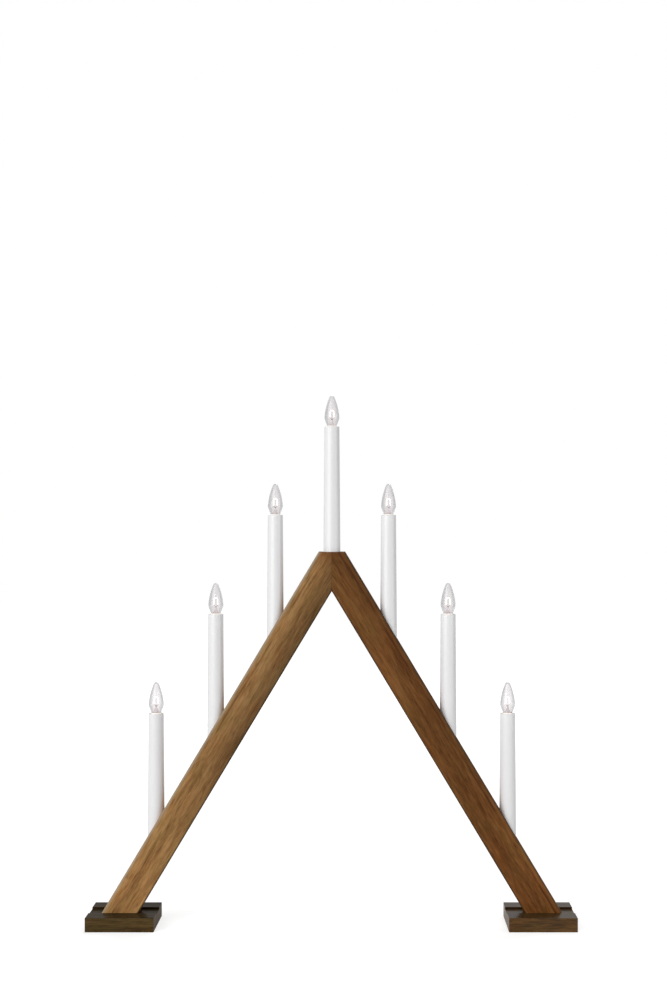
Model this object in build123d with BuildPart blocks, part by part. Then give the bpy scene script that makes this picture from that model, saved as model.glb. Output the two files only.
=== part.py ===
from build123d import *
from math import acos, atan2, cos, degrees, hypot, radians, sin, sqrt, tan
import os

# Electric candle arch. Two mitred wooden legs stand on block feet and carry seven candle tubes.
# Each tube holds a small screw lampholder and a clear flame bulb, and one series circuit runs
# along a covered channel in the back of the legs.
# Millimetres. X runs along the arch, Y to the back, Z up.
# The origin is on the floor, in the middle of the arch.

# Shared fits
overrun = 1.0               # how far a cut runs past the face that it opens
push_gap = 0.15             # gap all round where one piece is pushed into another
thin_gap = 0.05             # gap between faces that press on each other in use

# Legs
arch_height = 375.0         # floor to the flat on top of the mitre
leg_lean = 31.0             # degrees from upright
leg_width = 31.6            # across the front face, square to the leg
leg_thickness = 25.0        # front to back
flat_width = 26.4           # flat on top, over both legs
leg_edge_radius = 2.0

# Feet
foot_width = 68.0           # along X
foot_depth = 68.0           # along Y
foot_height = 14.0
foot_edge_radius = 0.5
foot_groove_depth = 2.0     # groove across the top in which the leg stands
foot_outer_margin = 13.4    # from the leg's outer corner to the outer end of the foot

# Foot screws, put in from below
screw_length = 30.0
screw_radius = 2.0
screw_head_radius = 4.0
screw_head_recess = 0.4
screw_point = 4.0
screw_spacing = 11.0
screw_setback = 4.0         # in front of the middle of the leg, clear of the channel
screw_slot_width = 0.9
screw_slot_length = 4.4
screw_slot_depth = 1.2
countersink_angle = 90.0    # degrees

# Dowels across the mitre
dowel_radius = 2.5
dowel_length = 30.0
dowel_setback = 7.6         # in front of the middle of the leg
dowel_rise = 6.5            # lower dowel above the inside corner of the mitre
dowel_spacing = 11.0
dowel_end_gap = 0.5

# Wire channel in the back of each leg, and its cover strip
channel_inset = 22.3        # outer face of the leg to the middle of the channel
channel_width = 9.6
channel_depth = 12.0
channel_end_height = 27.0
channel_corner_radius = 4.0
cover_thickness = 3.0

# Candles
candles_per_leg = 3
last_candle_margin = 53.1   # along X, from the lowest candle to the leg's outer face at the foot
first_gap_cut = 3.0         # by which the gaps beside the top candle are narrower than the others
tube_length = 128.0
tube_bottom_radius = 8.5
tube_top_radius = 7.5
tube_bore_radius = 6.3
tube_floor = 1.2
tube_edge_chamfer = 0.6
spigot_radius = 6.0
spigot_length = 12.0
spigot_wall = 1.2
top_seat_depth = 2.0
side_seat_depth = 18.0      # below the leg's face, on the axis of the tube
seat_gap = 0.2              # round the tube in its seat
wire_hole_radius = 4.5
wire_hole_overreach = 4.0   # below the middle of the channel

# Lampholder, with levels going down from the mouth of the tube
holder_drop = 0.4           # mouth to the top of the holder
shell_drop = 2.0            # mouth to the top of the threaded shell
shell_wall = 0.35
shell_radius = 4.85         # inside
tab_width = 2.0
tab_reach = 2.2             # length of the tab's turned-in foot
spring_room = 1.5           # height left for the pressed contact spring
web_thickness = 2.0
terminal_room = 5.4         # height below the web
strip_thickness = 0.5
strip_width = 2.4
strip_half_length = 2.4     # of the pad under the bulb's tip
strip_foot_reach = 1.4      # length of the foot that stops the lift
strip_stop_gap = 0.1
leaf_span = 7.4
leaf_width = 2.8
leaf_thickness = 0.25

# Bulb, with levels counted from the mouth of the tube
bulb_height = 31.4          # mouth to the tip of the glass
bulb_belly_radius = 7.5     # round belly, with its centre on the axis
bulb_belly_height = 9.2
bulb_side_radius = 64.0     # long arc from the belly to the tip
bulb_side_steps = 3         # straight steps along that arc
bulb_tip_radius = 2.7
bulb_neck_radius = 4.2
glass_wall = 0.5
stem_radius = 1.6
stem_top = 5.6
filament_radius = 0.3
filament_sides = 4
filament_foot_half = 0.8
filament_half = 1.8
filament_bend = 9.4
filament_top = 16.4
cap_drop = 0.9              # mouth to the top of the cap
cap_radius = 4.65
cap_length = 9.9
cap_taper = 2.0
cap_tip_radius = 2.0
thread_pitch = 1.81         # rise of the bulb in one turn
unscrew_turn_share = 0.75   # of a turn, after which the contact has opened

# Wires
wire_radius = 0.9
wire_sides = 6
lead_spread = 2.6           # axis of the tube to each of its two leads
top_lead_setback = 1.5      # Y of the leads under the top candle
lead_end_gap = 0.2
link_layer = 3.0            # Y of the wires from lamp to lamp
return_layer = 6.8          # Y of the wire that comes back
lay_in_length = 13.0        # along the leg, for a lead to settle in its layer
lead_bend_radius = 6.0
turn_span = 5.0             # along X, where a wire turns up into a tube
turn_rise = 1.4
turn_radius = 2.6
loop_start = 11.0           # along the leg, past the last lamp's lead
loop_end = 22.0
loop_half_width = 2.2
crossing_half = 5.5         # return wire across the mitre
crossing_drop = 46.5        # below the meeting point of the outer faces
crossing_radius = 5.0
splice_radius = 1.7
splice_length = 10.0
splice_bore_depth = 6.0
splice_start = 15.3         # along the leg, past the first lamp's lead
splice_layer = 5.2          # Y of the return wire's splice
splice_edge_chamfer = 0.6
splice_lead_in = 5.0        # straight run of the return wire before its splice

# Cord inlet in the right cover strip
inlet_rise = 17.0           # along the leg, splices' upper ends to the inlet
inlet_bore_radius = 2.7
inlet_barrel_radius = 3.5
inlet_flange_radius = 4.6
inlet_flange_thickness = 1.2
inlet_flange_chamfer = 0.5
inlet_lip_radius = 4.2
inlet_lip_thickness = 1.0

# The leg's slope, and the heights that follow from it
lean_sin = sin(radians(leg_lean))
lean_cos = cos(radians(leg_lean))
lean_tan = tan(radians(leg_lean))
half_thickness = leg_thickness / 2
peak_height = arch_height + flat_width / 2 / lean_tan
mitre_height = peak_height - leg_width / lean_sin
leg_bottom = foot_height - foot_groove_depth
channel_floor = half_thickness - channel_depth
channel_drop = channel_inset / lean_sin

# Levels of the lampholder and the bulb, all below the mouth of the tube
cap_bottom = -cap_drop - cap_length
cap_tip = cap_bottom - cap_taper
strip_top = cap_tip - thin_gap
strip_seat = strip_top - strip_thickness
web_top = strip_seat - spring_room
web_bottom = web_top - web_thickness
contact_lift = thread_pitch * unscrew_turn_share
strip_foot_top = web_bottom - contact_lift - strip_stop_gap
strip_bottom = strip_foot_top - strip_thickness
tab_bottom = strip_bottom - shell_wall
lead_top = tab_bottom - lead_end_gap
holder_bottom = web_bottom - terminal_room
shell_outer_radius = shell_radius + shell_wall
holder_bore_radius = shell_outer_radius + push_gap

os.makedirs("parts", exist_ok=True)


def outer_height(x):
    """Height of the legs' outer faces at a distance from the middle."""
    return peak_height - abs(x) / lean_tan


def outer_edge(z):
    """X of the right leg's outer face at a height."""
    return (peak_height - z) * lean_tan


def on_leg(along, inset):
    """X and Z on the right leg, down along its outer face and in from it."""
    x = along * lean_sin - inset * lean_cos
    z = peak_height - along * lean_cos - inset * lean_sin
    return x, z


def along_at(x, inset):
    """How far along the right leg a given X lies, at an inset from the outer face."""
    return (x + inset * lean_cos) / lean_sin


def save(piece, name):
    """Label a piece and write it out."""
    piece.label = name
    export_step(piece, f"parts/{name}.step")


def save_group(pieces, name):
    """Write separate solids of one kind as one group."""
    save(Compound(children=pieces), name)


# Candle places from left to right: X, height of the tube's seat, height of its mouth
lowest_place = outer_edge(foot_height) - last_candle_margin
candle_pitch = (lowest_place + first_gap_cut) / candles_per_leg
side_places = [candle_pitch * step - first_gap_cut for step in range(1, candles_per_leg + 1)]
candle_xs = [-x for x in reversed(side_places)] + [0] + side_places
candles = []
for candle_x in candle_xs:
    seat = arch_height - top_seat_depth
    if candle_x != 0:
        seat = outer_height(candle_x) - side_seat_depth
    candles.append((candle_x, seat, seat + tube_length))

# Dowels stand one above the other in the front half of the mitre
dowel_places = [
    (0, -dowel_setback, mitre_height + dowel_rise),
    (0, -dowel_setback, mitre_height + dowel_rise + dowel_spacing),
]


def screw_places(side):
    """X and Y of a foot's two screws, about the middle of the leg above the foot."""
    middle = outer_edge((leg_bottom + screw_length) / 2) - leg_width / lean_cos / 2
    return [(side * (middle + half * screw_spacing / 2), -screw_setback) for half in (-1, 1)]


def channel_shape(side, gap, y):
    """Outline of the wire channel at a depth, drawn in by a gap, with its lower end rounded."""
    near = channel_inset - channel_width / 2 + gap
    far = channel_inset + channel_width / 2 - gap
    end = (peak_height - channel_end_height - channel_inset * lean_sin) / lean_cos - gap
    end_near = on_leg(end, near)
    end_far = on_leg(end, far)
    with BuildSketch(Plane.XZ.offset(-y)) as channel:
        with BuildLine():
            Polyline(
                (0, peak_height - near / lean_sin),
                (side * end_near[0], end_near[1]),
                (side * end_far[0], end_far[1]),
                (0, peak_height - far / lean_sin),
                close=True,
            )
        make_face()
        fillet(channel.vertices().sort_by(Axis.Y)[:2], channel_corner_radius - gap)
    return channel.sketch


def make_leg(side):
    """One leg, side 1 for right and -1 for left, cut at the mitre, the flat and the foot."""
    outer = outer_edge(leg_bottom)
    inner = outer - leg_width / lean_cos
    with BuildPart() as leg:
        with BuildSketch(Plane.XZ):
            with BuildLine():
                Polyline(
                    (0, arch_height),
                    (side * flat_width / 2, arch_height),
                    (side * outer, leg_bottom),
                    (side * inner, leg_bottom),
                    (0, mitre_height),
                    close=True,
                )
            make_face()
        extrude(amount=half_thickness, both=True)

        # Ease the long edges and the rims of the flat, but not the mitre or the foot end
        rims = leg.faces().filter_by(Axis.Y).edges().filter_by(Axis.Z, reverse=True)
        fillet(rims.sort_by(Axis.Z)[2:], leg_edge_radius)

        # Flat seat for each tube, a hole for its spigot and one for its leads down to the channel
        for x, seat, mouth in candles:
            if x * side < 0:
                continue
            seat_depth = side_seat_depth if x else top_seat_depth
            channel_level = outer_height(x or 2 * lead_spread) - channel_drop - wire_hole_overreach
            seat_radius = tube_bottom_radius + seat_gap
            with Locations((x, 0, seat)):
                Cylinder(
                    seat_radius,
                    seat_depth + seat_radius / lean_tan + overrun,
                    align=(Align.CENTER, Align.CENTER, Align.MIN),
                    mode=Mode.SUBTRACT,
                )
                Cylinder(
                    spigot_radius + push_gap,
                    spigot_length + push_gap,
                    align=(Align.CENTER, Align.CENTER, Align.MAX),
                    mode=Mode.SUBTRACT,
                )
                Cylinder(
                    wire_hole_radius,
                    seat - channel_level,
                    align=(Align.CENTER, Align.CENTER, Align.MAX),
                    mode=Mode.SUBTRACT,
                )

        # Wire channel, opened from the back
        channel = channel_shape(side, 0, channel_floor)
        extrude(channel, amount=-channel_depth - overrun, mode=Mode.SUBTRACT)

        # Dowel holes in the mitre and screw holes in the foot end
        with Locations(*dowel_places):
            Cylinder(
                dowel_radius + push_gap,
                dowel_length + 2 * dowel_end_gap,
                rotation=(0, 90, 0),
                mode=Mode.SUBTRACT,
            )
        with Locations(*[(x, y, screw_head_recess) for x, y in screw_places(side)]):
            Cylinder(
                screw_radius + push_gap,
                screw_length + push_gap,
                align=(Align.CENTER, Align.CENTER, Align.MIN),
                mode=Mode.SUBTRACT,
            )
    return leg.part


def make_foot(side):
    """Block foot with eased edges, the leg's groove across its top and two countersunk holes."""
    middle = side * (outer_edge(foot_height) + foot_outer_margin - foot_width / 2)
    with BuildPart() as foot:
        with BuildSketch():
            with Locations((middle, 0)):
                Rectangle(foot_width, foot_depth)
        extrude(amount=foot_height)
        uprights = foot.edges().filter_by(Axis.Z)
        top_rim = foot.faces().sort_by(Axis.Z)[-1].edges()
        fillet(uprights + top_rim, foot_edge_radius)
        with BuildSketch(Plane.XY.offset(foot_height)):
            with Locations((middle, 0)):
                Rectangle(foot_width + overrun, leg_thickness + 2 * push_gap)
        extrude(amount=-foot_groove_depth, mode=Mode.SUBTRACT)
        for x, y in screw_places(side):
            with Locations(Plane((x, y, 0), z_dir=(0, 0, -1))):
                CounterSinkHole(
                    screw_radius + push_gap,
                    screw_head_radius + screw_head_recess + push_gap,
                    counter_sink_angle=countersink_angle,
                )
    return foot.part


# Countersunk wood screw, head down in the underside of the foot, with a cross slot
with BuildPart() as screw:
    head_height = (screw_head_radius - screw_radius) / tan(radians(countersink_angle / 2))
    with BuildSketch(Plane.XZ):
        with BuildLine():
            Polyline(
                (0, 0),
                (screw_head_radius, 0),
                (screw_radius, head_height),
                (screw_radius, screw_length - screw_point),
                (0, screw_length),
                close=True,
            )
        make_face()
    revolve(axis=Axis.Z)
    with BuildSketch(Plane.XY):
        Rectangle(screw_slot_length, screw_slot_width)
        Rectangle(screw_slot_width, screw_slot_length)
    extrude(amount=screw_slot_depth, mode=Mode.SUBTRACT)

# Plain dowel along X, with its ends eased
with BuildPart() as dowel:
    Cylinder(dowel_radius, dowel_length, rotation=(0, 90, 0))
    chamfer(dowel.edges().filter_by(GeomType.CIRCLE), dowel_end_gap)

# Cord inlet: its axis runs out of the back of the right cover strip
splice_along = along_at(side_places[-1] - lead_spread, channel_inset) + splice_start
wire_end_along = splice_along + splice_bore_depth - lead_end_gap
inlet_x, inlet_z = on_leg(splice_along + inlet_rise, channel_inset)
inlet_plane = Plane((inlet_x, half_thickness, inlet_z), x_dir=(-1, 0, 0), z_dir=(0, 1, 0))


def make_cover(side):
    """Strip that closes the wire channel flush with the back of the leg."""
    with BuildPart() as cover:
        extrude(channel_shape(side, push_gap, half_thickness), amount=cover_thickness)
        if side > 0:
            with BuildSketch(inlet_plane.offset(overrun)):
                Circle(inlet_barrel_radius + push_gap)
            extrude(amount=-cover_thickness - 2 * overrun, mode=Mode.SUBTRACT)
    return cover.part


def make_grommet():
    """Snap-in bush for the supply cord: flange outside, barrel, and a lip behind the strip."""
    depth = cover_thickness + inlet_lip_thickness
    with BuildPart() as grommet:
        with BuildSketch(inlet_plane):
            Circle(inlet_flange_radius)
        extrude(amount=inlet_flange_thickness)
        chamfer(grommet.edges().sort_by(Axis.Y)[-1], inlet_flange_chamfer)
        with BuildSketch(inlet_plane):
            Circle(inlet_barrel_radius)
        extrude(amount=-depth)
        with BuildSketch(inlet_plane.offset(-cover_thickness)):
            Circle(inlet_lip_radius)
        extrude(amount=-inlet_lip_thickness)
        with BuildSketch(inlet_plane.offset(inlet_flange_thickness + overrun)):
            Circle(inlet_bore_radius)
        extrude(amount=-inlet_flange_thickness - depth - 2 * overrun, mode=Mode.SUBTRACT)
    return grommet.part


# Wooden frame
save(make_leg(-1), "left_leg")
save(make_leg(1), "right_leg")
save(make_foot(-1), "left_foot")
save(make_foot(1), "right_foot")
save(make_cover(-1), "left_channel_cover")
save(make_cover(1), "right_channel_cover")
save(make_grommet(), "cord_inlet_grommet")
save_group([dowel.part.moved(Location(place)) for place in dowel_places], "apex_dowels")
screw_spots = [(x, y, screw_head_recess) for side in (-1, 1) for x, y in screw_places(side)]
save_group([screw.part.moved(Location(spot)) for spot in screw_spots], "foot_screws")


# Candle tube: tapered outside, with a straight bore and a hollow spigot below
with BuildPart() as tube:
    spigot_bore = spigot_radius - spigot_wall
    with BuildSketch(Plane.XZ):
        with BuildLine():
            Polyline(
                (tube_bore_radius, 0),
                (tube_top_radius - tube_edge_chamfer, 0),
                (tube_top_radius, -tube_edge_chamfer),
                (tube_bottom_radius, -tube_length),
                (spigot_radius, -tube_length),
                (spigot_radius, -tube_length - spigot_length),
                (spigot_bore, -tube_length - spigot_length),
                (spigot_bore, -tube_length + tube_floor),
                (tube_bore_radius, -tube_length + tube_floor),
                close=True,
            )
        make_face()
    revolve(axis=Axis.Z)

# Lampholder: insulating cup for the shell, a slotted web, and room below for the wire ends
with BuildPart() as holder:
    holder_radius = tube_bore_radius - push_gap
    with BuildSketch(Plane.XZ):
        with BuildLine():
            Polyline(
                (holder_bore_radius, -holder_drop),
                (holder_radius, -holder_drop),
                (holder_radius, holder_bottom),
                (holder_bore_radius, holder_bottom),
                (holder_bore_radius, web_bottom),
                (0, web_bottom),
                (0, web_top),
                (holder_bore_radius, web_top),
                close=True,
            )
        make_face()
    revolve(axis=Axis.Z)
    with BuildSketch(Plane.XY.offset(web_top)):
        with Locations((shell_radius - push_gap, 0)):
            Rectangle(shell_wall + 2 * push_gap, tab_width + 2 * push_gap, align=(Align.MIN, Align.CENTER))
        with Locations((-strip_half_length - push_gap, 0)):
            Rectangle(
                strip_thickness + 2 * push_gap,
                strip_width + 2 * push_gap,
                align=(Align.MIN, Align.CENTER),
            )
    extrude(amount=-web_thickness, mode=Mode.SUBTRACT)

# Threaded shell as a plain sleeve on the web, with a tab down through it and in to one lead
with BuildPart() as shell:
    with BuildSketch(Plane.XY.offset(web_top)):
        Circle(shell_outer_radius)
        Circle(shell_radius, mode=Mode.SUBTRACT)
    extrude(amount=-shell_drop - web_top)
    with BuildSketch(Plane.XZ):
        with BuildLine():
            Polyline(
                (shell_radius, web_top),
                (shell_outer_radius, web_top),
                (shell_outer_radius, tab_bottom),
                (shell_outer_radius - tab_reach, tab_bottom),
                (shell_outer_radius - tab_reach, tab_bottom + shell_wall),
                (shell_radius, tab_bottom + shell_wall),
                close=True,
            )
        make_face()
    extrude(amount=tab_width / 2, both=True)

# Sprung centre contact: pad under the bulb's tip, riser through the web, foot that stops its lift
with BuildPart() as contact:
    with BuildSketch(Plane.XZ):
        with BuildLine():
            Polyline(
                (strip_half_length, strip_top),
                (-strip_half_length, strip_top),
                (-strip_half_length, strip_bottom),
                (-strip_half_length + strip_foot_reach, strip_bottom),
                (-strip_half_length + strip_foot_reach, strip_foot_top),
                (-strip_half_length + strip_thickness, strip_foot_top),
                (-strip_half_length + strip_thickness, strip_seat),
                (strip_half_length, strip_seat),
                close=True,
            )
        make_face()
    extrude(amount=strip_width / 2, both=True)

# Contact spring: a bowed leaf across the web, pressed by the contact's pad
with BuildPart() as leaf:
    leaf_foot = web_top + thin_gap
    leaf_crown = strip_seat - thin_gap - leaf_thickness
    with BuildSketch(Plane.YZ):
        with BuildLine():
            under = ThreePointArc((-leaf_span / 2, leaf_foot), (0, leaf_crown), (leaf_span / 2, leaf_foot))
            over = ThreePointArc(
                (-leaf_span / 2, leaf_foot + leaf_thickness),
                (0, leaf_crown + leaf_thickness),
                (leaf_span / 2, leaf_foot + leaf_thickness),
            )
            Line(under @ 0, over @ 0)
            Line(under @ 1, over @ 1)
        make_face()
    extrude(amount=leaf_width / 2, both=True)


def flame_outline(wall):
    """Half outline of the flame drawn in by a wall: neck, cone, round belly, long side, round tip."""
    belly = bulb_belly_radius - wall
    tip = bulb_tip_radius - wall
    tip_height = bulb_height - bulb_tip_radius
    neck = (bulb_neck_radius - wall, wall - cap_drop)
    drop = bulb_belly_height - neck[1]
    lower_angle = degrees(acos(belly / hypot(neck[0], drop)) - atan2(drop, neck[0]))

    # The long side follows an arc that touches belly and tip, in a few straight steps
    span = tip_height - bulb_belly_height
    to_belly = bulb_side_radius - bulb_belly_radius
    to_tip = bulb_side_radius - bulb_tip_radius
    below_belly = (to_tip**2 - to_belly**2 - span**2) / (2 * span)
    past_axis = sqrt(to_belly**2 - below_belly**2)
    belly_angle = degrees(atan2(below_belly, past_axis))
    tip_angle = degrees(atan2(below_belly + span, past_axis))
    side_centre = (-past_axis, bulb_belly_height - below_belly)
    with BuildSketch(Plane.XZ) as outline:
        with BuildLine():
            round_belly = CenterArc((0, bulb_belly_height), belly, lower_angle, belly_angle - lower_angle)
            round_tip = CenterArc((0, tip_height), tip, tip_angle, 90 - tip_angle)
            side = CenterArc(
                side_centre,
                bulb_side_radius - wall,
                belly_angle,
                tip_angle - belly_angle,
                mode=Mode.PRIVATE,
            )
            Polyline(*[side @ (step / bulb_side_steps) for step in range(bulb_side_steps + 1)])
            Polyline(round_tip @ 1, (0, neck[1]), neck, round_belly @ 0)
        make_face()
    return outline.sketch


# Bulb glass: flame-shaped shell with an even wall, and a glass stem inside
with BuildPart() as glass:
    revolve(flame_outline(0), axis=Axis.Z)
    revolve(flame_outline(glass_wall), axis=Axis.Z, mode=Mode.SUBTRACT)
    with Locations((0, 0, -cap_drop)):
        Cylinder(stem_radius, stem_top + cap_drop, align=(Align.CENTER, Align.CENTER, Align.MIN))

# Filament on its two supports, one bent wire from the stem up and over
with BuildPart() as filament:
    with BuildLine() as bent:
        FilletPolyline(
            (-filament_foot_half, 0, stem_top),
            (-filament_half, 0, filament_bend),
            (-filament_half, 0, filament_top),
            (filament_half, 0, filament_top),
            (filament_half, 0, filament_bend),
            (filament_foot_half, 0, stem_top),
            radius=filament_half - filament_radius,
        )
    with BuildSketch(Plane(bent.line @ 0, x_dir=(0, 1, 0), z_dir=bent.line % 0)):
        RegularPolygon(filament_radius, filament_sides)
    sweep()
    split(bisect_by=Plane.XY.offset(stem_top), keep=Keep.TOP)

# Bulb cap: brass screw cap under the glass, tapering to its tip
with BuildPart() as cap:
    with BuildSketch(Plane.XZ):
        with BuildLine():
            Polyline(
                (0, -cap_drop),
                (cap_radius, -cap_drop),
                (cap_radius, cap_bottom),
                (cap_tip_radius, cap_tip),
                (0, cap_tip),
                close=True,
            )
        make_face()
    revolve(axis=Axis.Z)

# Every candle gets its own set of pieces, numbered from the left
single_pieces = {
    "candle_tube": tube.part,
    "lamp_holder": holder.part,
    "centre_contact": contact.part,
    "bulb_glass": glass.part,
    "bulb_filament": filament.part,
    "bulb_cap": cap.part,
}
mouths = [Location((x, 0, mouth)) for x, seat, mouth in candles]
for number, place in enumerate(mouths, start=1):
    for name, piece in single_pieces.items():
        save(piece.moved(place), f"{name}_{number}")
save_group([shell.part.moved(place) for place in mouths], "screw_shells")
save_group([leaf.part.moved(place) for place in mouths], "contact_springs")


def in_channel(side, along, inset, layer):
    """Point in a leg's wire channel."""
    x, z = on_leg(along, inset)
    return side * x, layer, z


def make_wire(points, radii):
    """Wire along straight runs, with an arc at each corner and flats in place of a round section."""
    with BuildPart() as wire:
        with BuildLine() as route:
            FilletPolyline(*points, radius=radii)
        with BuildSketch(Plane(route.line @ 0, z_dir=route.line % 0)):
            RegularPolygon(wire_radius, wire_sides)
        sweep()
    return wire.part


def lead_down(x, mouth, side):
    """Start of a wire: straight down from a lamp into the channel."""
    lead_x = abs(x) - lead_spread if x else lead_spread
    lead_y = 0 if x else top_lead_setback
    along = along_at(lead_x, channel_inset)
    corner = in_channel(side, along, channel_inset, lead_y)
    return along, [(side * lead_x, lead_y, mouth + lead_top), corner]


def make_link(side, upper, lower):
    """Wire from one lamp down the channel, then round and up into the next tube below it."""
    upper_x, seat, upper_mouth = upper
    lower_x, seat, lower_mouth = lower
    along, points = lead_down(upper_x, upper_mouth, side)
    end_x = abs(lower_x) + lead_spread
    turn_along = along_at(end_x - turn_span, channel_inset)
    turn = in_channel(side, turn_along, channel_inset, link_layer)
    points += [
        in_channel(side, along + lay_in_length, channel_inset, link_layer),
        turn,
        (side * end_x, 0, turn[2] + turn_rise),
        (side * end_x, 0, lower_mouth + lead_top),
    ]
    return make_wire(points, [lead_bend_radius, lead_bend_radius, turn_radius, turn_radius])


# Wires from lamp to lamp down each leg, and from the first lamp to its splice by the inlet
near_inset = channel_inset - loop_half_width
far_inset = channel_inset + loop_half_width
middle_lamp = candles[candles_per_leg]
links = []
for side in (-1, 1):
    row = [middle_lamp] + [lamp for lamp in candles if lamp[0] * side > 0][::side]
    links += [make_link(side, upper, lower) for upper, lower in zip(row, row[1:])]
last_x, last_seat, last_mouth = candles[-1]
along, points = lead_down(last_x, last_mouth, 1)
points += [
    in_channel(1, along + loop_start, near_inset, link_layer),
    in_channel(1, wire_end_along, near_inset, link_layer),
]
links.append(make_wire(points, [lead_bend_radius, lead_bend_radius]))
save_group(links, "series_wires")

# Return wire: down from the last lamp, round at the foot of the left channel,
# up to the mitre, across it and down the right channel to its splice
along, points = lead_down(last_x, last_mouth, -1)
crossing = peak_height - crossing_drop
points += [
    in_channel(-1, along + loop_start, near_inset, link_layer),
    in_channel(-1, along + loop_end, near_inset, link_layer),
    in_channel(-1, along + loop_end, far_inset, return_layer),
    (-crossing_half, return_layer, crossing),
    (crossing_half, return_layer, crossing),
    in_channel(1, along, far_inset, return_layer),
    in_channel(1, splice_along - splice_lead_in, far_inset, splice_layer),
    in_channel(1, wire_end_along, far_inset, splice_layer),
]
return_bends = [lead_bend_radius] * 2 + [turn_radius] * 2 + [crossing_radius] * 2 + [lead_bend_radius] * 2
save(make_wire(points, return_bends), "return_wire")


def make_splice(inset, layer):
    """Closed-end crimp where a wire meets one core of the supply cord."""
    start = in_channel(1, splice_along, inset, layer)
    with BuildPart() as splice:
        with BuildSketch(Plane(start, z_dir=(lean_sin, 0, -lean_cos))):
            Circle(splice_radius)
        extrude(amount=splice_length)
        chamfer(splice.edges().sort_by(Axis.Z)[0], splice_edge_chamfer)
        with BuildSketch(Plane(start, z_dir=(lean_sin, 0, -lean_cos))):
            Circle(wire_radius + push_gap)
        extrude(amount=splice_bore_depth, mode=Mode.SUBTRACT)
    return splice.part


splices = [make_splice(near_inset, link_layer), make_splice(far_inset, splice_layer)]
save_group(splices, "supply_splices")
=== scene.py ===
from math import acos, atan2, ceil, cos, hypot, pi, radians, sin, sqrt, tan

import bmesh
import bpy
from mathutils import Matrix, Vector


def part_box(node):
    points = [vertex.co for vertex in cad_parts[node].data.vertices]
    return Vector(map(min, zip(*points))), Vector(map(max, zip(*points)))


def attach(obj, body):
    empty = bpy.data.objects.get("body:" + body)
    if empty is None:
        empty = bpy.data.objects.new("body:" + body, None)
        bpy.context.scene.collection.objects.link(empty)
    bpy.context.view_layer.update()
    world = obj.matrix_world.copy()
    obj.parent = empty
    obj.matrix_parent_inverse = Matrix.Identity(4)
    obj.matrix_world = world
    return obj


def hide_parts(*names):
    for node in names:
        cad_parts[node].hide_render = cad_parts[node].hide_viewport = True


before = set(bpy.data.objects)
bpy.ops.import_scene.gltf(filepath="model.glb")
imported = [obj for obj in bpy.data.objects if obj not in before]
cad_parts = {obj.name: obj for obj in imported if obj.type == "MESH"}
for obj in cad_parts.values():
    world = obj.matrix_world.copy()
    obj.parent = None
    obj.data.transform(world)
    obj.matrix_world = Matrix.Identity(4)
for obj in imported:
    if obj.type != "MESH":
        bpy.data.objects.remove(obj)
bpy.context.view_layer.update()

# Looks of an electric candle arch. Everything is in metres, in the frame of its solids:
# X along the arch, Y to the back, Z up, with the origin on the floor in the middle.
numbers = range(1, 8)
mm = 0.001

# Legs
lean = radians(31.0)
leg_width = 31.6 * mm
leg_half_thickness = 12.5 * mm
flat_half_width = 13.2 * mm

# Feet
foot_height = 14.0 * mm
groove_depth = 2.0 * mm

# Turned pieces
round_segments = 96
arc_steps = 14
sharp_angle = radians(35)

# Candle tubes, with heights counted from the mouth
tube_length = 128.0 * mm
tube_top_radius = 7.5 * mm
tube_bore_radius = 6.3 * mm
tube_lip_rounding = 0.5 * mm
tube_floor = 1.2 * mm
tube_rows = 24
spigot_radius = 6.0 * mm
spigot_bore_radius = 4.8 * mm

# Bulbs, with heights counted from the mouth of the tube
belly_height = 9.2 * mm
side_radius = 64.0 * mm
tip_radius = 2.7 * mm
neck_radius = 4.2 * mm
glass_wall = 0.5 * mm
cone_rows = 10
stem_foot_radius = 3.6 * mm
stem_foot_gap = 0.05 * mm
stem_radius = 0.95 * mm
stem_top = 7.0 * mm
stem_flare = 1.25
stem_press_share = 0.55
stem_press_rate = 1.6
filament_half = 1.8 * mm
filament_foot_half = 0.8 * mm
filament_bend = 9.4 * mm
filament_top = 16.4 * mm
filament_steps = 12 * arc_steps
coil_radius = 0.3 * mm
coil_wire_radius = 0.09 * mm
coil_wire_sides = 6
coil_pitch = 0.36 * mm
coil_turn_steps = 10
support_radius = 0.17 * mm
support_sides = 10
support_root = 1.5 * mm
support_hook = 0.6 * mm
bead_height = 7.5 * mm
bead_half_length = 1.1 * mm
bead_radius = 0.7 * mm

# Screw caps of the bulbs
cap_drop = 0.9 * mm
cap_radius = 4.65 * mm
cap_length = 9.9 * mm
cap_taper = 2.0 * mm
cap_rim_height = 1.1 * mm
cap_rim_wall = 0.3 * mm
cement_depth = 0.5 * mm
cement_collar = 1.6 * mm
cement_collar_flare = 0.72 * mm
cement_grip = 0.1 * mm
cement_overlap = 0.15 * mm
thread_pitch = 1.81 * mm
thread_depth = 0.5 * mm
thread_rows_per_turn = 10
insulator_radius = 4.0 * mm
insulator_rows = 6
solder_radius = 2.0 * mm
solder_height = 1.0 * mm


def srgb(red, green, blue):
    """Linear colour of an sRGB colour given from 0 to 255."""
    channels = []
    for value in (red, green, blue):
        share = value / 255
        channels.append(share / 12.92 if share <= 0.04045 else ((share + 0.055) / 1.055) ** 2.4)
    return (*channels, 1.0)


def grey(level):
    """Grey of a linear level."""
    return (level, level, level, 1.0)


def add(tree, kind, inputs=None, **settings):
    """Add a shader node. An input is set to a value, or joined if it is another node's socket."""
    node = tree.nodes.new("ShaderNode" + kind)
    for name, value in settings.items():
        setattr(node, name, value)
    for name, value in (inputs or {}).items():
        if isinstance(value, bpy.types.NodeSocket):
            tree.links.new(value, node.inputs[name])
        else:
            node.inputs[name].default_value = value
    return node


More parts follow.
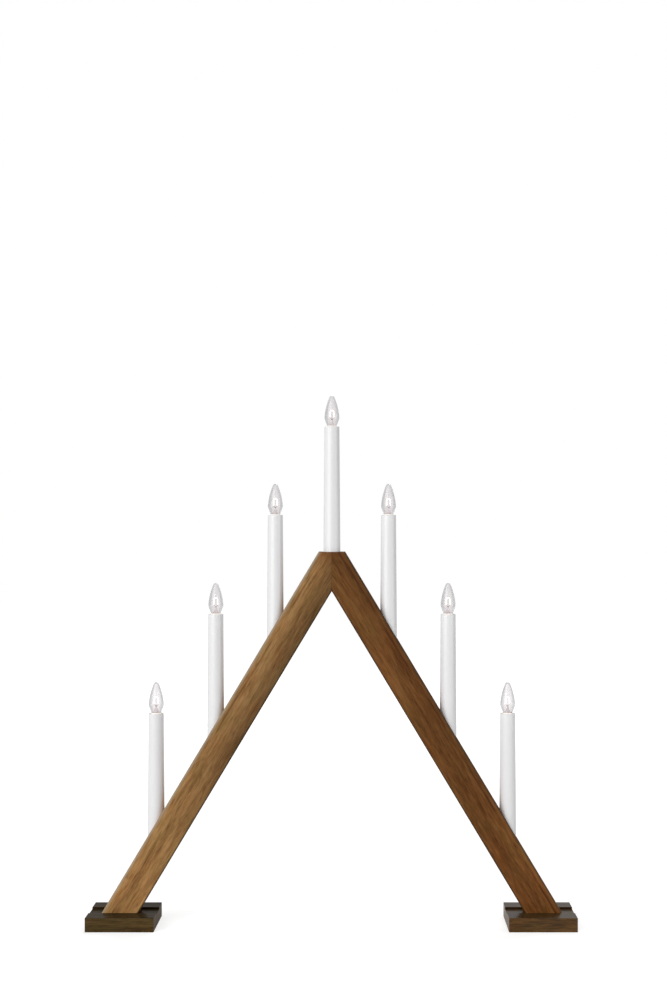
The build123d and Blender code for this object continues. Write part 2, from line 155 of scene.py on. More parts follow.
def new_material(name):
    """A material, its node tree and its principled shader."""
    material = bpy.data.materials.new(name)
    material.use_nodes = True
    return material, material.node_tree, material.node_tree.nodes["Principled BSDF"]


def noise(tree, place, scale, detail=2.0, roughness=0.5, distortion=0.0):
    """Noise stretched by a scale along each axis."""
    stretched = add(tree, "Mapping", {"Vector": place, "Scale": scale})
    inputs = {
        "Vector": stretched.outputs["Vector"],
        "Scale": 1.0,
        "Detail": detail,
        "Roughness": roughness,
        "Distortion": distortion,
    }
    return add(tree, "TexNoise", inputs).outputs["Fac"]


def ramp(tree, factor, stops):
    """Colour by a factor, through the given stops of place and colour."""
    node = add(tree, "ValToRGB", {"Fac": factor})
    elements = node.color_ramp.elements
    while len(elements) < len(stops):
        elements.new(1.0)
    for element, (place, colour) in zip(elements, stops):
        element.position = place
        element.color = colour
    return node.outputs["Color"]


def spread(tree, factor, low, high, start=0.0, end=1.0):
    """A factor's range from start to end spread from low to high, and held there."""
    inputs = {"Value": factor, "From Min": start, "From Max": end, "To Min": low, "To Max": high}
    return add(tree, "MapRange", inputs).outputs["Result"]


def calculate(tree, operation, *values):
    """One sum of numbers or sockets."""
    return add(tree, "Math", dict(enumerate(values)), operation=operation).outputs["Value"]


def blend(tree, mode, factor, first, second):
    """Two colours mixed in a given way."""
    node = add(tree, "Mix", {0: factor, 6: first, 7: second}, data_type="RGBA", blend_type=mode)
    return node.outputs[2]


def bumps(tree, shader, height, strength, distance):
    """Small unevenness of the surface."""
    bump = add(tree, "Bump", {"Height": height, "Strength": strength, "Distance": distance})
    tree.links.new(bump.outputs["Normal"], shader.inputs["Normal"])


# Wood grain, with noise scales across, through and along it
band_scale = (62, 50, 5)
streak_scale = (400, 360, 44)
fibre_scale = (1300, 1300, 110)
pore_scale = (620, 620, 90)
patch_scale = (70, 70, 26)
band_share = 0.3
streak_share = 0.5
fibre_share = 0.2
tone_places = (0.38, 0.5, 0.62)
pore_stops = [(0.6, grey(1.0)), (0.75, grey(0.62))]
warmth_stops = [(0.32, (1.0, 0.9, 0.78, 1.0)), (0.5, grey(1.0)), (0.68, (0.9, 0.98, 0.9, 1.0))]
warmth_share = 0.8
lacquer_ior = 1.42
wood_roughness = (0.55, 0.75)
wood_bump = (0.25, 0.12 * mm)

# Marks of the legs, painted light and shade among them, by distance from an edge, height along the leg,
# or depth below a face
shade_span = (0.12 * leg_width, 0.9 * leg_width)
foot_shade_span = (-0.09, 0.1)
top_darkening_reach = 18.0 * mm
top_darkening_solid = 2.0 * mm
mark_wander_scale = (0, 0, 11)
mark_wander = 2.5 * mm
mark_drift_span = (-0.1, 0.06)
mark_fade_scale = (40, 40, 30)
mark_fade_span = (0.35, 0.6)
mark_strength = 0.7
mark_half_width = (0.2 * mm, 1.4 * mm)
painted_edge_depth = 3.0 * mm
painted_edge_solid_depth = 0.8 * mm
painted_edge_solid_share = 0.3
painted_edge_strength = 0.7
seam_strength = 0.35
seam_half_width = (0.1 * mm, 0.6 * mm)

# Painted shade and sheen on the tops of the feet, and painted shade on the walls of their grooves
top_normal_span = (0.4, 0.9)
groove_side_span = (leg_half_thickness + 0.3 * mm, leg_half_thickness + 0.6 * mm)
groove_floor_margin = 0.2 * mm
groove_edge_margin = 0.5 * mm
groove_painted_shade = grey(0.3)


def make_wood(name, turn, offset, tones, coat, gloss, leg=None, foot_top_shade=None):
    """Stained wood with its grain along Z after a turn about Y. Tones are dark, middle and light."""
    material, tree, shader = new_material(name)
    coordinates = add(tree, "TexCoord").outputs
    place = coordinates["Object"]
    along = add(tree, "Mapping", {"Vector": place, "Rotation": (0, turn, 0)}).outputs["Vector"]
    cut = add(tree, "Mapping", {"Vector": along, "Location": offset}).outputs["Vector"]

    # Broad bands, streaks within them, fine fibres, short dark pores and patches of warmer stain
    bands = noise(tree, cut, band_scale, 2.0, 0.5, 0.4)
    streaks = noise(tree, cut, streak_scale, 4.0, 0.65, 0.2)
    fibres = noise(tree, cut, fibre_scale, 2.0, 0.6)
    pores = noise(tree, cut, pore_scale, 1.0)
    patches = noise(tree, cut, patch_scale, 3.0, 0.55, 0.4)
    tone = calculate(tree, "MULTIPLY", streaks, streak_share)
    tone = calculate(tree, "MULTIPLY_ADD", bands, band_share, tone)
    tone = calculate(tree, "MULTIPLY_ADD", fibres, fibre_share, tone)
    base = ramp(tree, tone, list(zip(tone_places, tones)))
    base = blend(tree, "MULTIPLY", 1.0, base, ramp(tree, pores, pore_stops))
    base = blend(tree, "MULTIPLY", warmth_share, base, ramp(tree, patches, warmth_stops))
    if leg:
        base = mark_leg(tree, place, along, base, leg)
    if foot_top_shade:
        base = mark_foot(tree, coordinates, base, foot_top_shade)
    tree.links.new(base, shader.inputs["Base Color"])

    # Dull wood under a thin worn lacquer
    shader.inputs["Specular IOR Level"].default_value = 0.0
    shader.inputs["Coat Weight"].default_value = coat
    shader.inputs["Coat Roughness"].default_value = gloss
    shader.inputs["Coat IOR"].default_value = lacquer_ior
    tree.links.new(spread(tree, streaks, *wood_roughness), shader.inputs["Roughness"])
    bumps(tree, shader, calculate(tree, "ADD", fibres, streaks), *wood_bump)
    return material


def mark_leg(tree, place, along, base, marks):
    """Marks of a leg: painted shade across it, painted light at its foot, a darker top, a dark streak,
    painted highlight and shade along its edges, and the joint.
    """
    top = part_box("left_leg")[1].z
    peak = top + flat_half_width / tan(lean)
    axes = add(tree, "SeparateXYZ", {"Vector": place}).outputs
    across = add(tree, "SeparateXYZ", {"Vector": along}).outputs
    from_outer = calculate(tree, "MULTIPLY_ADD", across["X"], -marks["side"], peak * sin(lean))
    from_inner = calculate(tree, "SUBTRACT", leg_width, from_outer)

    # Painted shade across the leg, darker towards its right-hand side as if lit from the left, evened
    # out towards the foot, where painted light brightens it, and darker near the top
    outer_shade, inner_shade, foot_shade = marks["painted_shades"]
    shade = spread(tree, from_outer, outer_shade, inner_shade, *shade_span)
    evened = spread(tree, across["Z"], 1.0, 0.0, *foot_shade_span)
    shade = add(tree, "Mix", {0: evened, 2: shade, 3: foot_shade}).outputs[0]
    base = blend(tree, "MULTIPLY", 1.0, base, shade)
    near_top = spread(tree, axes["Z"], 0.0, 1.0, top - top_darkening_reach, top - top_darkening_solid)
    base = blend(tree, "MULTIPLY", near_top, base, marks["top_shade"])

    # The streak wanders, fades in and out, and drifts across the leg on its way down
    waves = noise(tree, along, mark_wander_scale)
    wander = spread(tree, waves, -mark_wander, mark_wander)
    drift = spread(tree, across["Z"], marks["streak_drift"], 0.0, *mark_drift_span)
    middle = calculate(tree, "ADD", wander, drift)
    middle = calculate(tree, "ADD", middle, marks["streak_inset"])
    distance = calculate(tree, "ABSOLUTE", calculate(tree, "SUBTRACT", from_outer, middle))
    strength = noise(tree, along, mark_fade_scale)
    strength = spread(tree, strength, 0.0, mark_strength, *mark_fade_span)
    line = spread(tree, distance, 1.0, 0.0, *mark_half_width)
    line = calculate(tree, "MULTIPLY", line, strength)
    base = blend(tree, "MIX", line, base, marks["streak"])

    # Painted light on the front and back along the outer and the inner edge: a highlight on a rounded
    # edge that faces the lamp, shade on one that faces away
    depth = calculate(tree, "SUBTRACT", leg_half_thickness, calculate(tree, "ABSOLUTE", axes["Y"]))
    near_face = spread(tree, depth, 1.0, 0.0, painted_edge_solid_depth, painted_edge_depth)
    for from_edge, (colour, width) in zip((from_outer, from_inner), marks["rims"]):
        near_edge = spread(tree, from_edge, painted_edge_strength, 0.0, painted_edge_solid_share * width, width)
        rim = calculate(tree, "MULTIPLY", near_edge, near_face)
        base = blend(tree, "MIX", rim, base, colour)

    # Glue line of the mitre
    from_joint = calculate(tree, "ABSOLUTE", axes["X"])
    seam = spread(tree, from_joint, seam_strength, 0.0, *seam_half_width)
    return blend(tree, "MIX", seam, base, marks["streak"])


def mark_foot(tree, coordinates, base, top_shade):
    """Painted shade and sheen on the top of a foot, and painted shade on the walls of its groove."""
    upward = add(tree, "SeparateXYZ", {"Vector": coordinates["Normal"]}).outputs["Z"]
    level = spread(tree, upward, 0.0, 1.0, *top_normal_span)
    base = blend(tree, "MULTIPLY", level, base, top_shade)
    # Painted shade on the groove's walls, which lie in shade below the top
    axes = add(tree, "SeparateXYZ", {"Vector": coordinates["Object"]}).outputs
    from_middle = calculate(tree, "ABSOLUTE", axes["Y"])
    between = spread(tree, from_middle, 1.0, 0.0, *groove_side_span)
    low = foot_height - groove_depth
    above = spread(tree, axes["Z"], 0.0, 1.0, low - groove_floor_margin, low)
    below = spread(tree, axes["Z"], 1.0, 0.0, foot_height - groove_edge_margin, foot_height)
    groove = calculate(tree, "MULTIPLY", between, calculate(tree, "MULTIPLY", above, below))
    shaded_walls = calculate(tree, "MULTIPLY", groove, calculate(tree, "SUBTRACT", 1.0, level))
    return blend(tree, "MULTIPLY", shaded_walls, base, groove_painted_shade)


# Moulded pieces
moulded_fine_scale = (900, 900, 900)
moulded_broad_scale = (60, 60, 25)
moulded_shade_span = (0.3, 0.7)
moulded_gloss_spread = (-0.05, 0.07)
moulded_bump = (0.1, 0.04 * mm)

# Metal
scratch_scale = (400, 400, 3000)
spot_scale = (250, 250, 250)
tarnish_stops = [(0.35, grey(0.72)), (0.6, grey(1.0))]
tarnish_share = 0.7
metal_gloss_spread = (0.12, -0.06)
metal_bump = (0.1, 0.03 * mm)

# Glass and hot wire
glass_wave_scale = (90, 90, 40)
glass_edge_blend = 0.5
glass_stops = [(0.05, (0.875, 0.86, 0.865, 1.0)), (0.45, grey(0.68)), (0.8, grey(0.6))]
glass_ior = 1.46
glass_bump = (0.03, 0.1 * mm)
heat_scale = (300, 300, 300)
heat_stops = [(0.3, grey(0.8)), (0.7, grey(1.0))]
wire_base = grey(0.2)
wire_roughness = 0.4


def make_plastic(name, colour, roughness, unevenness=0.05, glow=0.0):
    """Moulded piece with a faint grain, slightly uneven gloss, and a painted glow that stands in for
    light from near.
    """
    material, tree, shader = new_material(name)
    place = add(tree, "TexCoord").outputs["Object"]
    fine = noise(tree, place, moulded_fine_scale)
    broad = noise(tree, place, moulded_broad_scale)
    start, end = moulded_shade_span
    shade = ramp(tree, broad, [(start, grey(1 - unevenness)), (end, grey(1.0))])
    tree.links.new(blend(tree, "MULTIPLY", 1.0, colour, shade), shader.inputs["Base Color"])
    low, high = moulded_gloss_spread
    uneven = spread(tree, broad, roughness + low, roughness + high)
    tree.links.new(uneven, shader.inputs["Roughness"])
    shader.inputs["Emission Color"].default_value = colour
    shader.inputs["Emission Strength"].default_value = glow
    bumps(tree, shader, fine, *moulded_bump)
    return material


def make_metal(name, colour, roughness):
    """Drawn metal with faint scratches and dull spots."""
    material, tree, shader = new_material(name)
    place = add(tree, "TexCoord").outputs["Object"]
    scratches = noise(tree, place, scratch_scale)
    spots = noise(tree, place, spot_scale, 3.0)
    tarnished = blend(tree, "MULTIPLY", tarnish_share, colour, ramp(tree, spots, tarnish_stops))
    tree.links.new(tarnished, shader.inputs["Base Color"])
    dull, bright = metal_gloss_spread
    uneven = spread(tree, spots, roughness + dull, roughness + bright)
    tree.links.new(uneven, shader.inputs["Roughness"])
    shader.inputs["Metallic"].default_value = 1.0
    bumps(tree, shader, scratches, *metal_bump)
    return material


def make_glass(name):
    """Blown glass that loses light towards its edges, with a faint slow waviness."""
    material, tree, shader = new_material(name)
    place = add(tree, "TexCoord").outputs["Object"]
    waves = noise(tree, place, glass_wave_scale, 1.0)
    edge = add(tree, "LayerWeight", {"Blend": glass_edge_blend}).outputs["Facing"]
    tree.links.new(ramp(tree, edge, glass_stops), shader.inputs["Base Color"])
    shader.inputs["Roughness"].default_value = 0.0
    shader.inputs["IOR"].default_value = glass_ior
    shader.inputs["Transmission Weight"].default_value = 1.0
    bumps(tree, shader, waves, *glass_bump)
    return material


def make_glow(name, colour, strength):
    """Hot tungsten wire, a little cooler in places."""
    material, tree, shader = new_material(name)
    place = add(tree, "TexCoord").outputs["Object"]
    heat = ramp(tree, noise(tree, place, heat_scale, 1.0), heat_stops)
    shader.inputs["Base Color"].default_value = wire_base
    shader.inputs["Roughness"].default_value = wire_roughness
    tree.links.new(blend(tree, "MULTIPLY", 1.0, colour, heat), shader.inputs["Emission Color"])
    shader.inputs["Emission Strength"].default_value = strength
    return material


# Tones of each piece of wood: dark, middle and light
left_tones = (srgb(108, 74, 40), srgb(138, 101, 60), srgb(160, 122, 78))
right_tones = (srgb(80, 47, 18), srgb(103, 65, 30), srgb(122, 82, 44))
left_foot_tones = (srgb(56, 42, 20), srgb(78, 60, 31), srgb(98, 76, 44))
right_foot_tones = (srgb(64, 42, 14), srgb(92, 63, 27), srgb(114, 82, 42))
dowel_tones = (srgb(178, 144, 104), srgb(200, 168, 126), srgb(216, 188, 150))

# Marks of each leg. Painted shades brighten or darken its outer edge, its inner edge and its foot;
# top_shade darkens its top;
# painted edges give colour and width of a painted highlight along the left leg's outer edge and painted
# shade along the others.
left_marks = {
    "side": -1,
    "painted_shades": (1.24, 0.6, 1.55),
    "top_shade": (0.62, 0.5, 0.44, 1.0),
    "streak": srgb(84, 52, 24),
    "streak_inset": 5.5 * mm,
    "streak_drift": 8.0 * mm,
    "rims": [(srgb(162, 150, 128), 3.2 * mm), (srgb(54, 40, 27), 2.0 * mm)],
}
right_marks = {
    "side": 1,
    "painted_shades": (0.96, 1.12, 1.42),
    "top_shade": grey(1.0),
    "streak": srgb(58, 27, 8),
    "streak_inset": 5.0 * mm,
    "streak_drift": 0.0,
    "rims": [(srgb(56, 44, 32), 2.0 * mm), (srgb(54, 40, 27), 2.0 * mm)],
}
# Painted shade on the tops of the feet, tinted blue-grey as a painted sheen
left_foot_top_shade = (0.5, 0.56, 0.7, 1.0)
right_foot_top_shade = (0.6, 0.75, 1.2, 1.0)

# Lacquer: how much of it, and how rough it is
leg_coat = 0.3
leg_gloss = 0.38
left_foot_coat = 0.3
right_foot_coat = 0.68
foot_gloss = 0.2
cover_coat = 0.2
dowel_coat = 0.0
plain_gloss = 0.4

# Each piece of wood is cut from another place of the grain
across_x = radians(90.0)
looks = {
    "left_leg": make_wood(
        "left_leg_wood", -lean, (0.3, 0.1, 0.2), left_tones, leg_coat, leg_gloss, leg=left_marks
    ),
    "right_leg": make_wood(
        "right_leg_wood", lean, (0.7, 0.4, 0.9), right_tones, leg_coat, leg_gloss, leg=right_marks
    ),
    "left_foot": make_wood(
        "left_foot_wood", across_x, (0.2, 0.6, 0.5), left_foot_tones, left_foot_coat, foot_gloss,
        foot_top_shade=left_foot_top_shade,
    ),
    "right_foot": make_wood(
        "right_foot_wood", across_x, (0.9, 0.2, 0.1), right_foot_tones, right_foot_coat, foot_gloss,
        foot_top_shade=right_foot_top_shade,
    ),
    "left_channel_cover": make_wood(
        "left_cover_wood", -lean, (0.5, 0.9, 0.3), left_tones, cover_coat, plain_gloss
    ),
    "right_channel_cover": make_wood(
        "right_cover_wood", lean, (0.1, 0.3, 0.6), right_tones, cover_coat, plain_gloss
    ),
    "apex_dowels": make_wood(
        "dowel_wood", across_x, (0.4, 0.8, 0.7), dowel_tones, dowel_coat, plain_gloss
    ),
}

# Name, colour and roughness of each plastic and metal. What glows has a painted glow that stands in for
# the filament's light.
tube_white = make_plastic("tube_white", srgb(244, 244, 245), 0.2, unevenness=0.02)
holder_white = make_plastic("holder_white", srgb(232, 230, 224), 0.5)
grommet_brown = make_plastic("grommet_brown", srgb(46, 34, 25), 0.5)
wire_white = make_plastic("wire_white", srgb(228, 226, 219), 0.45)
splice_grey = make_plastic("splice_grey", srgb(196, 197, 192), 0.45)
insulator_black = make_plastic("insulator_black", srgb(26, 24, 26), 0.22)
# Cement, stem and bead glow: painted light that stands in for the filament's light on them
cement = make_plastic("cement", srgb(240, 234, 226), 0.8, unevenness=0.08, glow=0.4)
stem_glass = make_plastic("stem_glass", srgb(242, 231, 231), 0.3, unevenness=0.1, glow=0.25)
bead_glass = make_plastic("bead_glass", srgb(206, 190, 193), 0.2, glow=0.15)
brass = make_metal("brass", srgb(214, 178, 104), 0.24)
spring_brass = make_metal("spring_brass", srgb(206, 166, 98), 0.3)
solder = make_metal("solder", srgb(186, 188, 192), 0.36)
screw_steel = make_metal("screw_steel", srgb(188, 186, 172), 0.32)
support_metal = make_metal("support_metal", srgb(122, 112, 108), 0.38)
bulb_glass = make_glass("bulb_glass")
filament_glow = make_glow("filament_glow", srgb(255, 226, 214), 4.0)

looks["cord_inlet_grommet"] = grommet_brown
looks["foot_screws"] = screw_steel
looks["screw_shells"] = brass
looks["contact_springs"] = spring_brass
looks["series_wires"] = wire_white
looks["return_wire"] = wire_white
looks["supply_splices"] = splice_grey
for number in numbers:
    looks[f"lamp_holder_{number}"] = holder_white
    looks[f"centre_contact_{number}"] = spring_brass
for node, material in looks.items():
    for material_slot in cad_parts[node].material_slots:
        material_slot.material = material


def finish_mesh(name, vertices, faces):
    """Mesh with its faces turned outward, smooth but for real corners."""
    mesh = bpy.data.meshes.new(name)
    mesh.from_pydata(vertices, [], faces)
    shape = bmesh.new()
    shape.from_mesh(mesh)
    bmesh.ops.recalc_face_normals(shape, faces=shape.faces)
    shape.to_mesh(mesh)
    shape.free()
    for polygon in mesh.polygons:
        polygon.use_smooth = True
    mesh.set_sharp_from_angle(angle=sharp_angle)
    return mesh


def turn_round(name, outline, ring=False, thread=None, flatten=None):
    """Mesh turned about Z from an outline of radius and height. A ring's outline closes on itself."""
    vertices, faces, rows = [], [], []
    for radius, height in outline:
        row = []
        for step in range(round_segments if radius else 1):
            angle = 2 * pi * step / round_segments
            reach = radius + (thread(height, angle) if thread and radius else 0)
            squeeze = flatten(height) if flatten else 1
            row.append(len(vertices))
            vertices.append((reach * cos(angle), reach * squeeze * sin(angle), height))
        rows.append(row)
    pairs = list(zip(rows, rows[1:]))
    if ring:
        pairs.append((rows[-1], rows[0]))
    for lower, upper in pairs:
        for step in range(round_segments):
            corners = [
                lower[step % len(lower)],
                lower[(step + 1) % len(lower)],
                upper[(step + 1) % len(upper)],
                upper[step % len(upper)],
            ]
            faces.append(list(dict.fromkeys(corners)))
    return finish_mesh(name, vertices, faces)


def run_tube(name, points, radius, sides):
    """Closed round tube along a line of points."""
    points = [Vector(point) for point in points]
    vertices, faces = [], []
    side = Vector((0, 1, 0))
    for index, point in enumerate(points):
        ahead = points[min(index + 1, len(points) - 1)] - points[max(index - 1, 0)]
        ahead.normalize()
        side = (side - ahead * side.dot(ahead)).normalized()
        other = ahead.cross(side)
        for step in range(sides):
            angle = 2 * pi * step / sides
            vertices.append(point + side * (radius * cos(angle)) + other * (radius * sin(angle)))
    for index in range(len(points) - 1):
        for step in range(sides):
            following = (step + 1) % sides
            base = index * sides
            above = base + sides
            faces.append([base + step, base + following, above + following, above + step])
    faces.append(list(range(sides)))
    faces.append(list(range(len(vertices) - sides, len(vertices))))
    return finish_mesh(name, vertices, faces)


def arc(centre, radius, start, end):
    """Points of an arc in radius and height, with its ends."""
    points = []
    for step in range(arc_steps + 1):
        angle = start + (end - start) * step / arc_steps
        points.append((centre[0] + radius * cos(angle), centre[1] + radius * sin(angle)))
    return points


def even_steps(start, end, count):
    """Points between two points, without the ends."""
    shares = [step / count for step in range(1, count)]
    return [tuple(a + (b - a) * share for a, b in zip(start, end)) for share in shares]


def place_piece(name, mesh, material, spot, body, slot, *nodes):
    """Piece that rides on a body and stands for some of the solids."""
    piece = bpy.data.objects.new(name, mesh)
    bpy.context.scene.collection.objects.link(piece)
    if not mesh.materials:
        mesh.materials.append(material)
    piece.location = spot
    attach(piece, body)
    if nodes:
        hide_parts(*nodes)


def tube_mesh():
    """Candle tube with a rounded lip, a hollow bore and its spigot below."""
    low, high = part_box("candle_tube_1")
    bottom_radius = (high.x - low.x) / 2
    spigot_end = low.z - high.z
    lip = tube_lip_rounding
    outline = arc((tube_bore_radius + lip, -lip), lip, pi, pi / 2)
    outline += arc((tube_top_radius - lip, -lip), lip, pi / 2, 0)
    shoulder = (bottom_radius, -tube_length)
    outline += even_steps(outline[-1], shoulder, tube_rows) + [shoulder]
    outline += [
        (spigot_radius, -tube_length),
        (spigot_radius, spigot_end),
        (spigot_bore_radius, spigot_end),
        (spigot_bore_radius, -tube_length + tube_floor),
        (tube_bore_radius, -tube_length + tube_floor),
    ]
    return turn_round("candle_tube", outline, ring=True)


def flame(wall):
    """Outline of the flame from neck to tip, drawn in by a wall."""
    low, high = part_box("bulb_glass_1")
    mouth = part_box("candle_tube_1")[1].z
    belly_radius = (high.x - low.x) / 2
    tip_height = high.z - mouth - tip_radius
    neck = (neck_radius - wall, wall - cap_drop)
    drop = belly_height - neck[1]
    lower = acos((belly_radius - wall) / hypot(neck[0], drop)) - atan2(drop, neck[0])

    # The long side's arc touches belly and tip, with its centre past the axis
    span = tip_height - belly_height
    to_belly = side_radius - belly_radius
    to_tip = side_radius - tip_radius
    below_belly = (to_tip**2 - to_belly**2 - span**2) / (2 * span)
    past_axis = sqrt(to_belly**2 - below_belly**2)
    upper = atan2(below_belly, past_axis)
    end = atan2(below_belly + span, past_axis)
    round_belly = arc((0, belly_height), belly_radius - wall, lower, upper)
    long_side = arc((-past_axis, belly_height - below_belly), side_radius - wall, upper, end)
    round_tip = arc((0, tip_height), tip_radius - wall, end, pi / 2)
    return [
        neck,
        *even_steps(neck, round_belly[0], cone_rows),
        *round_belly,
        *long_side[1:-1],
        *round_tip[:-1],
        (0, tip_height + tip_radius - wall),
    ]


def glass_mesh():
    """Thin flame-shaped bulb, open at the neck."""
    return turn_round("bulb_glass", flame(0)[::-1] + flame(glass_wall))


def stem_mesh():
    """Glass foot of the filament: a flare that narrows to a flat press."""
    foot = glass_wall - cap_drop + stem_foot_gap
    shoulder = stem_top - stem_radius
    outline = [(0, foot), (stem_foot_radius, foot)]
    for step in range(1, arc_steps + 1):
        share = step / arc_steps
        flare = (stem_foot_radius - stem_radius) * (1 - share) ** stem_flare
        outline.append((stem_radius + flare, foot + (shoulder - foot) * share))
    outline += arc((0, shoulder), stem_radius, 0, pi / 2)[1:-1]
    outline.append((0, stem_top))

    def flatten(height):
        share = max(0.0, (height - foot) / (stem_top - foot))
        return 1 - (1 - stem_press_share) * min(1.0, stem_press_rate * share)

    return turn_round("bulb_stem", outline, flatten=flatten)


def filament_line():
    """Length and points of the filament, up one side, over and down the other."""
    shoulder = filament_top - filament_half
    rise = shoulder - filament_bend
    length = 2 * rise + pi * filament_half
    points = []
    for step in range(filament_steps + 1):
        run = length * step / filament_steps
        if run < rise:
            points.append((-filament_half, filament_bend + run))
        elif run > length - rise:
            points.append((filament_half, filament_bend + length - run))
        else:
            angle = pi - (run - rise) / filament_half
            points.append((filament_half * cos(angle), shoulder + filament_half * sin(angle)))
    return length, points


def coil_mesh():
    """Tungsten wire wound in a fine coil along the filament's line."""
    length, line = filament_line()
    count = ceil(length / coil_pitch) * coil_turn_steps
    points = []
    for step in range(count + 1):
        share = step / count * (len(line) - 1)
        index = min(int(share), len(line) - 2)
        part = share - index
        (x0, z0), (x1, z1) = line[index], line[index + 1]
        reach = hypot(x1 - x0, z1 - z0)
        out_x, out_z = -(z1 - z0) / reach, (x1 - x0) / reach
        angle = 2 * pi * step / coil_turn_steps
        swing = coil_radius * cos(angle)
        points.append((
            x0 + (x1 - x0) * part + out_x * swing,
            coil_radius * sin(angle),
            z0 + (z1 - z0) * part + out_z * swing,
        ))
    return run_tube("filament_coil", points, coil_wire_radius, coil_wire_sides)


def support_mesh(side):
    """One lead-in wire, from the press up to a hook that holds the coil's end."""
    foot = side * filament_foot_half
    points = [(foot, 0, stem_top - support_root), (foot, 0, stem_top)]
    for step in range(1, arc_steps + 1):
        share = step / arc_steps
        eased = 3 * share * share - 2 * share**3
        out = filament_foot_half + (filament_half - filament_foot_half) * eased
        points.append((side * out, 0, stem_top + (filament_bend - stem_top) * share))
    points.append((side * filament_half, 0, filament_bend + support_hook))
    return run_tube("support_wire", points, support_radius, support_sides)


def bead_mesh():
    """Glass bead that holds the two lead-in wires apart, a small bar along X."""
    outline = [(0, -bead_half_length)]
    outline += arc((0, -bead_half_length + bead_radius), bead_radius, -pi / 2, 0)[1:]
    outline += arc((0, bead_half_length - bead_radius), bead_radius, 0, pi / 2)[:-1]
    outline.append((0, bead_half_length))
    mesh = turn_round("filament_bead", outline)
    for vertex in mesh.vertices:
        x, y, z = vertex.co
        vertex.co = (z, y, x + bead_height)
    return mesh


def cap_mesh():
    """Brass cap with a rolled screw thread under a plain rim, hollow at the top for the cement."""
    top = -cap_drop
    bottom = -cap_drop - cap_length
    rows = round(cap_length / thread_pitch * thread_rows_per_turn)
    inner = cap_radius - cap_rim_wall
    outline = [(0, top - cement_depth), (inner, top - cement_depth), (inner, top), (cap_radius, top)]
    outline += [(cap_radius, top + (bottom - top) * row / rows) for row in range(1, rows + 1)]
    outline += [(insulator_radius, bottom), (0, bottom)]

    def thread(height, angle):
        below_rim = (top - cap_rim_height - height) / thread_pitch
        above_end = (height - bottom) / thread_pitch
        fade = max(0.0, min(1.0, 2 * below_rim, 2 * above_end))
        turn = height / thread_pitch - angle / (2 * pi)
        return -thread_depth * fade * (0.5 - 0.5 * cos(2 * pi * turn))

    return turn_round("bulb_cap", outline, thread=thread)


def cement_mesh():
    """Pale cement that holds the glass in the cap, over the cap's rim and a little up the neck."""
    low = -cap_drop - cement_depth
    inner = cap_radius - cap_rim_wall
    outer = cap_radius + cement_overlap
    outline = [
        (0, low),
        (inner, low),
        (inner, -cap_drop),
        (cap_radius, -cap_drop),
        (cap_radius, low),
        (outer, low),
        (outer, cement_overlap - cap_drop),
        (neck_radius + cement_collar_flare, cement_collar - cap_drop),
        (neck_radius - cement_grip, -cap_drop),
        (0, -cap_drop),
    ]
    return turn_round("cap_cement", outline)


def insulator_mesh():
    """Black glass foot of the cap, tapering to the contact."""
    top = -cap_drop - cap_length
    bottom = top - cap_taper + solder_height / 2
    outline = [(0, top), (insulator_radius, top)]
    outline += even_steps((insulator_radius, top), (solder_radius, bottom), insulator_rows)
    outline += [(solder_radius, bottom), (0, bottom)]
    return turn_round("cap_insulator", outline)


def solder_mesh():
    """Rounded solder contact at the cap's tip."""
    bottom = -cap_drop - cap_length - cap_taper
    top = bottom + solder_height / 2
    outline = [(0, top), (solder_radius, top)]
    for step in range(1, arc_steps):
        angle = pi / 2 * step / arc_steps
        outline.append((solder_radius * cos(angle), top + (bottom - top) * sin(angle)))
    outline.append((0, bottom))
    return turn_round("cap_contact", outline)


def make_candles():
    """Tube and bulb of each candle, in the place of its solids."""
    tube = tube_mesh()
    bulb_pieces = [
        ("glass", glass_mesh(), bulb_glass, "bulb_glass", "bulb_glass"),
        ("stem", stem_mesh(), stem_glass, "bulb_glass", None),
        ("coil", coil_mesh(), filament_glow, "filament_metal", "bulb_filament"),
        ("left_support", support_mesh(-1), support_metal, "filament_metal", None),
        ("right_support", support_mesh(1), support_metal, "filament_metal", None),
        ("bead", bead_mesh(), bead_glass, "bulb_glass", None),
        ("cap", cap_mesh(), brass, "brass", "bulb_cap"),
        ("cap_cement", cement_mesh(), cement, "holder_plastic", None),
        ("cap_insulator", insulator_mesh(), insulator_black, "holder_plastic", None),
        ("cap_contact", solder_mesh(), solder, "brass", None),
    ]
    for number in numbers:
        low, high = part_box(f"candle_tube_{number}")
        mouth = ((low.x + high.x) / 2, (low.y + high.y) / 2, high.z)
        name = f"candle_{number}_tube"
        node = f"candle_tube_{number}"
        place_piece(name, tube, tube_white, mouth, "frame", "tube_plastic", node)
        for part, mesh, material, slot, node in bulb_pieces:
            stands_for = [f"{node}_{number}"] if node else []
            name = f"bulb_{number}_{part}"
            place_piece(name, mesh, material, mouth, f"bulb_{number}", slot, *stands_for)


make_candles()

# Stage: white floor that keeps the shadow, white background, soft light from the front left.
# The floor's glow goes by the distance from its middle.
floor_size = 12.0
floor_glow = (0.61, 0.81)
floor_glow_reach = (0.9, 2.5)
floor_colour = 0.62
floor_roughness = 0.9
ambient = 0.34
mirrored = 0.3

# Power, size and place of each lamp
lamps = {
    "key": (105.0, 3.4, (-2.4, -2.7, 1.6)),
    "fill": (1.8, 0.6, (0.85, -0.45, 0.45)),
    "back": (19.0, 1.2, (0.4, 1.7, 1.9)),
}
lamp_aim = Vector((0.0, 0.0, 0.28))


def seen_rays(tree):
    """How white the background shows: fully, seen straight or through glass, and dimmer mirrored."""
    rays = add(tree, "LightPath").outputs
    straight = calculate(tree, "MAXIMUM", rays["Is Camera Ray"], rays["Is Transmission Ray"])
    dimmer = calculate(tree, "MULTIPLY", rays["Is Glossy Ray"], mirrored)
    return calculate(tree, "MAXIMUM", straight, dimmer)


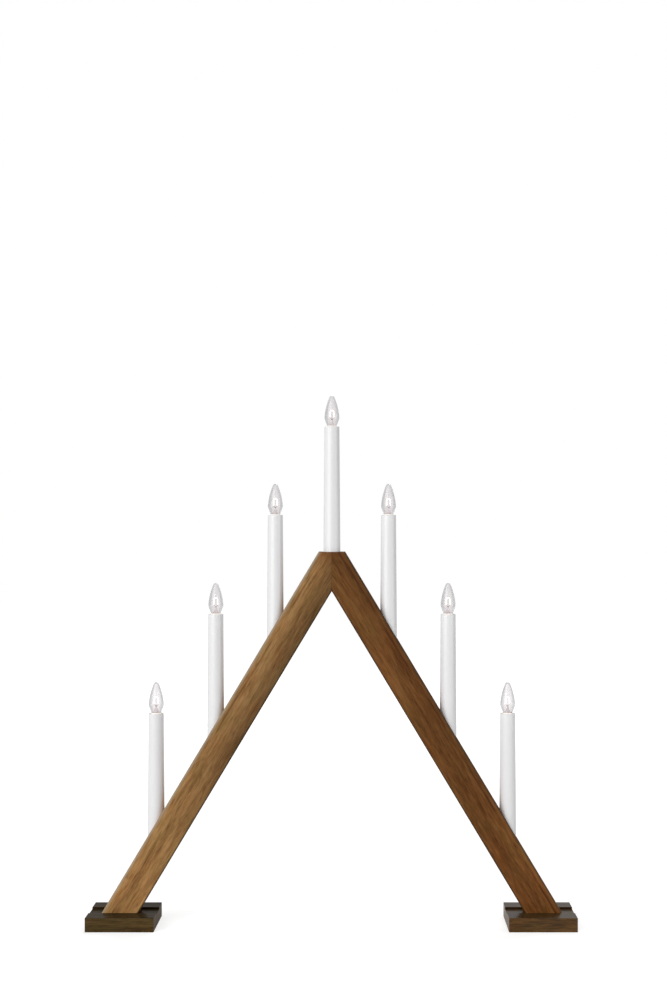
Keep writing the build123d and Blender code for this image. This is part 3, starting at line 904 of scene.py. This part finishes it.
def make_floor():
    """Pale floor that looks white to the camera, but for the shadow."""
    half = floor_size / 2
    corners = [(-half, -half, 0), (half, -half, 0), (half, half, 0), (-half, half, 0)]
    floor = bpy.data.objects.new("floor", finish_mesh("floor", corners, [(0, 1, 2, 3)]))
    bpy.context.scene.collection.objects.link(floor)
    material, tree, shader = new_material("floor_white")
    shader.inputs["Base Color"].default_value = grey(floor_colour)
    shader.inputs["Roughness"].default_value = floor_roughness
    shader.inputs["Specular IOR Level"].default_value = 0.0
    shader.inputs["Emission Color"].default_value = grey(1.0)
    place = add(tree, "TexCoord").outputs["Object"]
    distance = add(tree, "VectorMath", {0: place}, operation="LENGTH").outputs["Value"]
    glow = spread(tree, distance, *floor_glow, *floor_glow_reach)
    strength = calculate(tree, "MULTIPLY", seen_rays(tree), glow)
    tree.links.new(strength, shader.inputs["Emission Strength"])
    floor.data.materials.append(material)


def make_world():
    """White background, which lights the part at a lower level."""
    world = bpy.data.worlds.new("studio")
    bpy.context.scene.world = world
    world.use_nodes = True
    tree = world.node_tree
    background = tree.nodes["Background"]
    background.inputs["Color"].default_value = grey(1.0)
    strength = spread(tree, seen_rays(tree), ambient, 1.0)
    tree.links.new(strength, background.inputs["Strength"])


def make_lamps():
    """Soft lamps, which don't show themselves behind or through the bulbs."""
    for name, (power, size, place) in lamps.items():
        light = bpy.data.lights.new(name, "AREA")
        light.energy = power
        light.size = size
        lamp = bpy.data.objects.new(name, light)
        lamp.location = place
        lamp.rotation_euler = (lamp_aim - Vector(place)).to_track_quat("-Z", "Y").to_euler()
        lamp.visible_camera = False
        lamp.visible_transmission = False
        bpy.context.scene.collection.objects.link(lamp)


# Camera: level, with the sensor shifted as the photograph is cropped
image_height_pixels = 1000
focal_pixels = 1654
sensor = 36.0
camera_place = (0.0333, -1.6665, 0.412)
camera_shift = (-0.0315, 0.015)


def make_camera():
    """Camera at the photograph's place."""
    lens = bpy.data.cameras.new("camera")
    lens.sensor_width = sensor
    lens.lens = sensor * focal_pixels / image_height_pixels
    lens.shift_x, lens.shift_y = camera_shift
    camera = bpy.data.objects.new("camera", lens)
    camera.location = camera_place
    camera.rotation_euler = (pi / 2, 0, 0)
    bpy.context.scene.collection.objects.link(camera)
    bpy.context.scene.camera = camera


make_floor()
make_world()
make_lamps()
make_camera()
bpy.context.scene.view_settings.view_transform = "Standard"
